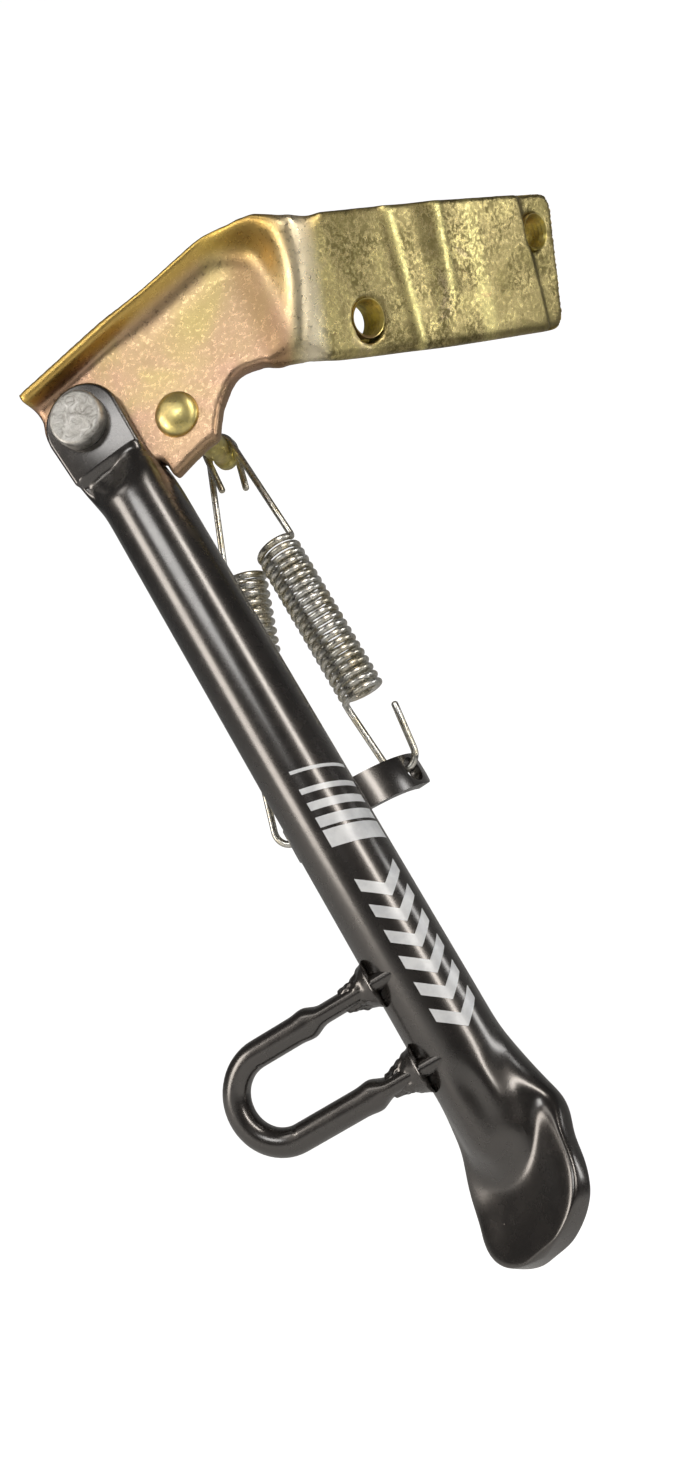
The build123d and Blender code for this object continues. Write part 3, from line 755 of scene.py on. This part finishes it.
for index, station in enumerate((LOOP_TOP, LOOP_TOP + LOOP_GAP)):
    rings = []
    for i in range(29):
        t = i / 28
        ring = []
        for k in range(40):
            a = 2 * math.pi * k / 40
            lump = 0.34 * math.sin(3 * a + 2.1 * index + 5 * t) + 0.26 * math.sin(7 * a - 9 * t)
            lump += 0.22 * math.sin(13 * a + 17 * t + index)
            flare = 3.1 + 3.3 * t**1.7 + lump * math.sin(math.pi * min(t * 1.15, 1.0))
            reach = -15.0 + 8.6 * t
            toward = LOOP_LIFT * (1 - 0.16 * t) + 0.92 * flare * math.sin(a)
            ring.append(leg(station + flare * math.cos(a), reach, toward))
        rings.append(ring)
    painted(piece(f"loop_weld_{index + 1}", *skin(rings), PAINT), None if index else "loop_welds")

# ---- spring yoke ---------------------------------------------------------------------
YOKE_AT = 124.75           # station of its middle along the leg
YOKE_WIDTH = 9.5
YOKE_RADIUS = 20.0
YOKE_THICK = 3.5
YOKE_ACROSS = 3.0
YOKE_TIP = 92.0            # degrees round from its middle to each tip
YOKE_CORNER = 9.0          # degrees over which a tip's corners are rounded
YOKE_BACK = -(TUBE_RADIUS + YOKE_RADIUS + YOKE_THICK / 2)
SPRING_DEPTHS = (-26.3, -28.7)


def yoke_point(along, radius, angle):
    """A point at a radius from the yoke's centre, angle degrees round from its middle."""
    a = math.radians(angle)
    return leg(along, YOKE_ACROSS + radius * math.sin(a), YOKE_BACK + radius * math.cos(a))


yoke_rings = []
for i in range(73):
    angle = -YOKE_TIP + 2 * YOKE_TIP * i / 72
    corner = max(abs(angle) - (YOKE_TIP - YOKE_CORNER), 0) / YOKE_CORNER
    half = YOKE_WIDTH / 2 - 3.0 * (1 - math.sqrt(max(1 - corner**2, 0)))
    ring = []
    for x, y in ((-1, -1), (1, -1), (1, 1), (-1, 1)):
        ring.append(yoke_point(YOKE_AT + x * half, YOKE_RADIUS + y * YOKE_THICK / 2, angle))
    yoke_rings.append(ring)
yoke = piece("yoke_strip", *skin(yoke_rings), PAINT, sharp=40)
for sign, depth in zip((1, -1), SPRING_DEPTHS):
    angle = sign * math.degrees(math.acos((depth - YOKE_BACK) / YOKE_RADIUS))
    inner, outer = yoke_point(YOKE_AT, 8, angle), yoke_point(YOKE_AT, 32, angle)
    hole = turned(inner, outer - inner, [(3.6, 0), (3.6, 24)], 40)
    cut(yoke, piece("drill", *skin(hole), PAINT, sharp=40))
rounded(yoke, 0.0006, 3, 40, 35)
painted(yoke, "spring_yoke")

for index, side in enumerate((-1, 1)):
    across = TUBE_AT + side * 5.6
    path = [leg(YOKE_AT - 4.6 + 9.2 * i / 40, across, 0.6 - TUBE_RADIUS) for i in range(41)]
    radii = [(1.9 + 0.3 * abs(math.sin(i * 0.62))) * MM for i in range(41)]
    bead = piece(f"yoke_weld_{index + 1}", *skin(swept(path, radii, 16)), PAINT)
    painted(bead, None if index else "yoke_welds")

# ---- springs -------------------------------------------------------------------------
WIRE = 1.0                 # radius
COIL = 5.7                 # radius of the wire's middle line
UPPER_EYE, LOWER_EYE = 4.3, 4.6
TURN_STEPS = 40


def tangent_point(centre, radius, outside, reach):
    """Where a line from outside meets a hook's round end."""
    dx, dy = outside[0] - centre[0], outside[1] - centre[1]
    swing = math.acos(radius / math.hypot(dx, dy))
    return math.atan2(dy, dx) - reach * (1 if dy > 0 else -1) * swing


def hook_points(side, start, centre, radius, tip):
    """The hook's line from the coil to its tail: straight, round, straight."""
    reach = -1 if centre < start else 1
    first = tangent_point((centre, 0), radius, (start, side * COIL), reach)
    last = tangent_point((centre, 0), radius, tip, reach)
    middle = 0.0 if reach > 0 else math.pi
    spin_in = (first - middle + math.pi) % (2 * math.pi) - math.pi
    spin_out = (last - middle + math.pi) % (2 * math.pi) - math.pi
    points = [(start, side * COIL)]
    lead = (centre + radius * math.cos(first), radius * math.sin(first))
    for i in range(1, 12):
        points.append(tuple(a + (b - a) * i / 12 for a, b in zip(points[0], lead)))
    for i in range(25):
        a = middle + spin_in + (spin_out - spin_in) * i / 24
        points.append((centre + radius * math.cos(a), radius * math.sin(a)))
    tail = points[-1]
    for i in range(1, 7):
        points.append(tuple(a + (b - a) * i / 6 for a, b in zip(tail, tip)))
    return points


def spring(name, anchor, toward, sides, coil, tips, body):
    """One wire: hook on the stud, close coil from coil[0] to coil[1], hook in the yoke."""
    start = front(STUD[0], STUD[1], toward)
    end = leg(anchor[0], anchor[1], toward)
    x_axis = (end - start).normalized()
    y_axis = TOWARD.cross(x_axis)
    length = (end - start).length / MM
    upper_side, lower_side = sides
    turns = 20 if upper_side == lower_side else 20.5

    def at(x, y, z=0.0):
        return start + (x_axis * x + y_axis * y + TOWARD * z) * MM

    hook = hook_points(upper_side, coil[0] - 1.6, 0.0, UPPER_EYE, tips[0])
    upper = [at(x, y) for x, y in reversed(hook)]
    hook = hook_points(lower_side, coil[1] + 1.6, length, LOWER_EYE, tips[1])
    lower = [at(x, y) for x, y in hook]
    helix = []
    for i in range(2, int(turns * TURN_STEPS) - 1):
        t = i / TURN_STEPS
        a = 2 * math.pi * t
        x = coil[0] + (coil[1] - coil[0]) * t / turns
        helix.append(at(x, upper_side * COIL * math.cos(a), upper_side * COIL * math.sin(a)))
    bends = []
    for a, corner, b in (
        (upper[-1], at(coil[0], upper_side * COIL), helix[0]),
        (helix[-1], at(coil[1], lower_side * COIL), lower[0]),
    ):
        bends.append([
            a * (1 - t) ** 2 + corner * 2 * t * (1 - t) + b * t * t for t in (0.2, 0.4, 0.6, 0.8)
        ])
    path = upper + bends[0] + helix + bends[1] + lower
    obj = piece(name, *skin(swept(path, WIRE * MM, 12)), SPRING, None, "spring_wire")
    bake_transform(obj)
    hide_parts(body + "_coil", body + "_lower_hook")


spring(
    "spring_outer", (119.15, 21.9), SPRING_DEPTHS[0], (1, -1), (35.7, 86.7),
    ((11.0, -5.2), (93.5, 6.3)), "outer_spring",
)
spring(
    "spring_inner", (119.4, -16.2), SPRING_DEPTHS[1], (-1, -1), (38.0, 94.0),
    ((12.5, 5.4), (100.5, 6.3)), "inner_spring",
)

# ---- bracket -------------------------------------------------------------------------
WALL_ANGLE = math.radians(35.9)
WALL_IN, WALL_TOP = 15.4, 45.1
WALL_PEAK = (WALL_TOP * math.cos(WALL_ANGLE) - WALL_IN) / math.sin(WALL_ANGLE)
WALL_FOOT = (
    -12 * math.cos(WALL_ANGLE) - WALL_IN * math.sin(WALL_ANGLE),
    -12 * math.sin(WALL_ANGLE) + WALL_IN * math.cos(WALL_ANGLE),
)
# lines where the sheet is folded, which the press left soft
FOLDS = (
    (front(*WALL_FOOT, PLATE_FRONT), front(WALL_PEAK, WALL_TOP, PLATE_FRONT)),
    (front(WALL_PEAK, WALL_TOP, PLATE_FRONT), front(60.5, WALL_TOP, 8.0)),
    (front(49.7, 39.9, PLATE_FRONT), front(59.2, 20.0, PLATE_FRONT)),
    (front(62.6, 45.3, 13.0), front(61.1, 11.6, 3.0)),
)


def off_segment(point, start, end):
    """Distance from a point to a segment."""
    line = end - start
    t = min(max((point - start).dot(line) / line.length_squared, 0.0), 1.0)
    return (point - start - line * t).length


def off_line(x, y, top, foot):
    """Signed distance, on the arm's face, to the right of a line from top to foot."""
    dx, dy = foot[0] - top[0], foot[1] - top[1]
    return ((y - top[1]) * dx - (x - top[0]) * dy) / math.hypot(dx, dy)


def relief(x, y):
    """Height of the arm's pressed creases, in millimetres."""
    first = 0.40 * math.exp(-((off_line(x, y, (30.2, -3.1), (35.4, -35.7)) / 2.0) ** 2))
    second = 0.42 * math.exp(-((off_line(x, y, (46.8, -4.5), (48.6, -24.0)) / 2.6) ** 2))
    second *= smooth(-31.0, -20.0, y)
    hollow = -0.35 * math.exp(-((off_line(x, y, (38.5, -3.0), (42.0, -35.0)) / 3.6) ** 2))
    return first + second + hollow


def on_arm(point):
    """Right along, up and out of the arm's face, in millimetres."""
    local = (point - ARM_AT) / MM
    return local.dot(ARM_X), local.dot(ARM_Y), local.dot(FACING)


def drawn_out(point):
    """The wall's top swept forward into the knee, and fuller lower edges."""
    right_of, behind, above = (point - PIVOT) / MM
    ahead = -behind
    corner = smooth(32, 56, right_of) * (1 - smooth(58.5, 63, right_of))
    if above > 38:
        point.y -= 5.0 * MM * corner * smooth(3.5, 9.0, ahead)
        point.z += 2.6 * MM * corner * smooth(38, 46, above)
    low = smooth(33, 39, right_of) * smooth(26, 17, above) * (1 - smooth(60, 66, right_of))
    point += Vector((0.5, 0.0, -1.0)) * 1.2 * MM * low
    x, y, _ = on_arm(point)
    return point - ARM_Y * 1.5 * MM * smooth(-26, -33, y) * smooth(0, 8, x)


def sheet_softness(point):
    """How freely the sheet evens out: soft at its folds and along the arm's lower edge."""
    gap = min(off_segment(point, *fold) for fold in FOLDS) / MM
    x, y, _ = on_arm(point)
    lower_edge = 0.30 * (1 - smooth(-36.5, -33.0, y)) * smooth(2, 6, x)
    clear_of_ear = 0.16 + 0.84 * smooth(4, 20, (point - PIVOT).x / MM)
    return max(0.06, lower_edge, clear_of_ear * (1 - smooth(4.0, 9.0, gap)))


def creased(point):
    """The arm's pressed creases, and its end set back."""
    x, y, _ = on_arm(point)
    if x > 20:
        point = point + FACING * relief(x, y) * MM
    if x > 70 and (point - UPPER_HOLE).dot(TAB_FACING) / MM > -1.4:
        sunk = smooth(-0.9, 1.5, off_line(x, y, (82.0, -3.6), (89.4, -37.0)))
        point = point - TAB_FACING * 1.1 * MM * sunk
    return point


bracket = bpy.data.objects.new("bracket_sheet", frame["nodes"]["bracket_plate"].data.copy())
bpy.context.scene.collection.objects.link(bracket)
apply_modifier(bracket, "REMESH", mode="VOXEL", voxel_size=0.00062, use_smooth_shade=True)
bracket.data.materials.clear()
bracket.data.materials.append(BRACKET)
reshape(bracket.data, drawn_out)
relax(bracket.data, sheet_softness, 150)
reshape(bracket.data, creased)
bracket.data.shade_smooth()
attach(bracket, "bracket")
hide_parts("bracket_plate")

THREAD_PITCH = 1.5
for end in ("lower", "upper"):
    mount = mounts["mount_hole_" + end]
    length = mount["dims"]["length_mm"]
    profile = [(5.15, 0.0), (4.95, -0.1)]
    for i in range(int(length / THREAD_PITCH)):
        at = -0.2 - i * THREAD_PITCH
        profile += [(4.95, at), (4.35, at - 0.65), (4.35, at - 0.85), (4.95, at - 1.45)]
    profile += [(5.15, -length + 0.1), (5.15, 0.0)]
    rings = turned(mount["pos_m"], mount["axis"], profile, 48)
    thread = skin(rings, closed=False)
    piece("thread_" + end, *thread, GOLD, "bracket", "zinc_yellow", sharp=50)

# ---- stud, bolt and the pieces kept from the frame -----------------------------------
DOME_RADIUS, DOME_HEIGHT = 6.3, 2.9
profile = [(0.01, -3.1)]
for i in range(1, 13):
    a = math.radians(90 * i / 12)
    profile.append((DOME_RADIUS * math.sin(a), -0.2 - DOME_HEIGHT * math.cos(a)))
profile += [(DOME_RADIUS, 0.05), (4.0, 0.1), (4.0, 5.0), (3.75, 5.0)]
profile += [(3.75, 26.9), (3.0, 27.5), (3.0, 32.5), (3.75, 33.1)]
profile += [(3.75, 35.2), (3.4, 35.75), (2.9, 36.0), (0.01, 36.0)]
rings = turned(front(*STUD, PLATE_FRONT), -TOWARD, profile, 64)
stud = piece("stud_turned", *skin(rings), GOLD, "bracket", "zinc_yellow", 40)
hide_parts("spring_stud")

profile = [(0.01, -10.55), (5.2, -10.6), (6.6, -10.75), (7.2, -10.7), (7.6, -10.4), (7.8, -9.9)]
profile += [(7.8, -6.9), (7.6, -6.6), (5.0, -6.6), (5.0, 6.6)]
profile += [(4.0, 6.6), (4.0, 16.8), (3.3, 17.6), (0.01, 17.6)]
rings = turned(PIVOT, -TOWARD, profile, 72)
bolt = piece("bolt_turned", *skin(rings), BOLT, "leg", "zinc_silver", 40)
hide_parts("pivot_bolt")

for node, material in (
    ("weld_nut_lower", GOLD),
    ("weld_nut_upper", GOLD),
    ("pivot_bush", BRONZE),
    ("pivot_washer", SILVER),
    ("pivot_nut", SILVER),
    ("nut_lock_ring", NYLON),
):
    obj = frame["nodes"][node]
    if not obj.material_slots:
        obj.data.materials.append(material)
    for material_slot in obj.material_slots:
        material_slot.material = material

# ---- print ---------------------------------------------------------------------------
PRINT_OUT, PRINT_IN = TUBE_RADIUS + 0.10, TUBE_RADIUS - 0.05


def on_tube(along, arc, radius):
    """A point of the tube's wall, arc millimetres round from its front."""
    a = arc / TUBE_RADIUS
    return leg(along, TUBE_AT + radius * math.sin(a), radius * math.cos(a))


def printed(patches):
    """Thin printed patches: each is a list of (station, station, arc) cross lines."""
    points, faces = [], []
    for rows in patches:
        base = len(points)
        for low, high, arc in rows:
            for radius in (PRINT_IN, PRINT_OUT):
                points += [on_tube(low, arc, radius), on_tube(high, arc, radius)]
        for r in range(len(rows) - 1):
            a, b = base + 4 * r, base + 4 * r + 4
            for p, q in ((0, 1), (1, 3), (3, 2), (2, 0)):
                faces.append((a + p, a + q, b + q, b + p))
        last = base + 4 * (len(rows) - 1)
        faces += [(base, base + 1, base + 3, base + 2), (last, last + 1, last + 3, last + 2)]
    return points, faces


def slanted(station, width, low, high, slope, steps=24):
    """A band round the tube from arc low to arc high, drifting along the leg by slope."""
    rows = []
    for i in range(steps + 1):
        arc = low + (high - low) * i / steps
        offset = slope * (arc - low)
        rows.append((station + offset, station + width + offset, arc))
    return rows


STRIPES = ((114.9, 0.9), (120.0, 1.5), (123.9, 2.2), (128.0, 2.8), (131.6, 4.7))
STRIPE_SLOPE = math.tan(math.radians(13.5))
CHEVRON_SLOPE, CHEVRON_HALF = 0.75, 6.0
patches = [slanted(station, width, 0.4, 16.0, STRIPE_SLOPE) for station, width in STRIPES]
for i in range(6):
    station = 145.5 + 6.9 * i
    patches.append(slanted(station, 3.4, 1.2, 7.2, CHEVRON_SLOPE, 10))
    station += CHEVRON_SLOPE * CHEVRON_HALF
    patches.append(slanted(station, 3.4, 7.2, 13.2, -CHEVRON_SLOPE, 10))
leg_print = piece("leg_print", *printed(patches), PRINT, "leg", "print_silver", sharp=30)
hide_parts("side_print")

# ---- stage, light and camera ---------------------------------------------------------
def pale_to_camera(tree, socket, dim, bright):
    """Makes a studio surface bright to look at, while it throws little light on the part."""
    rays = tree.nodes.new("ShaderNodeLightPath")
    seen = tree.nodes.new("ShaderNodeMapRange")
    seen.inputs["To Min"].default_value = dim
    seen.inputs["To Max"].default_value = bright
    tree.links.new(rays.outputs["Is Camera Ray"], seen.inputs["Value"])
    tree.links.new(seen.outputs["Result"], socket)


# a floor that curves up into a wall behind the part
FLOOR_DROP, FLOOR_DEPTH, CURVE_RADIUS, WALL_HEIGHT, HALF_WIDTH = 0.16, 0.9, 0.6, 3.0, 3.0
floor_z = cad_box[0][2] - FLOOR_DROP
outline = [(-2.2, 0.0)]
for degrees in range(0, 91, 6):
    a = math.radians(degrees)
    y, z = FLOOR_DEPTH + CURVE_RADIUS * math.sin(a), CURVE_RADIUS * (1 - math.cos(a))
    outline.append((y, z))
outline.append((FLOOR_DEPTH + CURVE_RADIUS, WALL_HEIGHT))
floor_mesh = bpy.data.meshes.new("floor")
floor_mesh.from_pydata(
    [(x, y, floor_z + z) for y, z in outline for x in (-HALF_WIDTH, HALF_WIDTH)],
    [],
    [(2 * i, 2 * i + 1, 2 * i + 3, 2 * i + 2) for i in range(len(outline) - 1)],
)
floor_mesh.shade_smooth()
floor = bpy.data.objects.new("floor", floor_mesh)
bpy.context.scene.collection.objects.link(floor)
floor_material = bpy.data.materials.new("floor")
floor_material.use_nodes = True
surface = floor_material.node_tree.nodes["Principled BSDF"].inputs
surface["Base Color"].default_value = (0.80, 0.80, 0.79, 1)
surface["Roughness"].default_value = 0.9
surface["Emission Color"].default_value = (1, 1, 1, 1)
pale_to_camera(floor_material.node_tree, surface["Emission Strength"], 0.05, 0.9)
floor_mesh.materials.append(floor_material)

part_middle = (Vector(cad_box[0]) + Vector(cad_box[1])) / 2


def area_light(name, direction, distance, size, power, colour=(1, 1, 1), upright=(0, 0, 1)):
    """A soft box facing the middle of the part; its long side leans the way upright does."""
    light = bpy.data.lights.new(name, "AREA")
    light.shape = "RECTANGLE"
    light.size, light.size_y = size
    light.energy = power
    light.color = colour
    obj = bpy.data.objects.new(name, light)
    bpy.context.scene.collection.objects.link(obj)
    back = Vector(direction).normalized()
    right = Vector(upright).cross(back).normalized()
    axes = Matrix((right, back.cross(right), back)).transposed()
    obj.matrix_world = Matrix.Translation(part_middle + back * distance) @ axes.to_4x4()


area_light("left", (-0.70, -0.65, -0.19), 0.9, (0.27, 1.0), 4.8, (1.0, 0.93, 0.86), ALONG)
area_light("right", (0.53, -0.61, 0.50), 0.9, (0.14, 0.9), 3.8, (1.0, 0.94, 0.88), ALONG)
area_light("upper_left", (-0.64, -0.58, 0.50), 0.9, (0.26, 0.22), 0.4, (1.0, 0.95, 0.90))
area_light("front", (-0.26, -0.86, 0.36), 1.1, (0.45, 0.3), 2.0)
area_light("far_right", (0.92, 0.05, 0.30), 0.9, (0.16, 0.5), 1.3)

world = bpy.data.worlds.new("studio")
bpy.context.scene.world = world
world.use_nodes = True
background = world.node_tree.nodes["Background"].inputs
background["Color"].default_value = (1.0, 1.0, 1.0, 1)
pale_to_camera(world.node_tree, background["Strength"], 0.07, 0.98)

# close by, from the right and a little below the part's middle
CAMERA_AT = (0.0711, -0.2663, -0.1383)
CAMERA_RIGHT = (0.9612, 0.2760, 0.0)
CAMERA_BACK = (0.2748, -0.9570, -0.0926)
camera_data = bpy.data.cameras.new("camera")
camera_data.lens = 26.07
camera_data.sensor_width = 36.0
camera_data.clip_start = 0.01
camera = bpy.data.objects.new("camera", camera_data)
bpy.context.scene.collection.objects.link(camera)
back = Vector(CAMERA_BACK).normalized()
up = back.cross(Vector(CAMERA_RIGHT)).normalized()
axes = Matrix((up.cross(back), up, back)).transposed()
camera.matrix_world = Matrix.Translation(CAMERA_AT) @ axes.to_4x4()
bpy.context.scene.camera = camera
bpy.context.scene.view_settings.view_transform = "Standard"
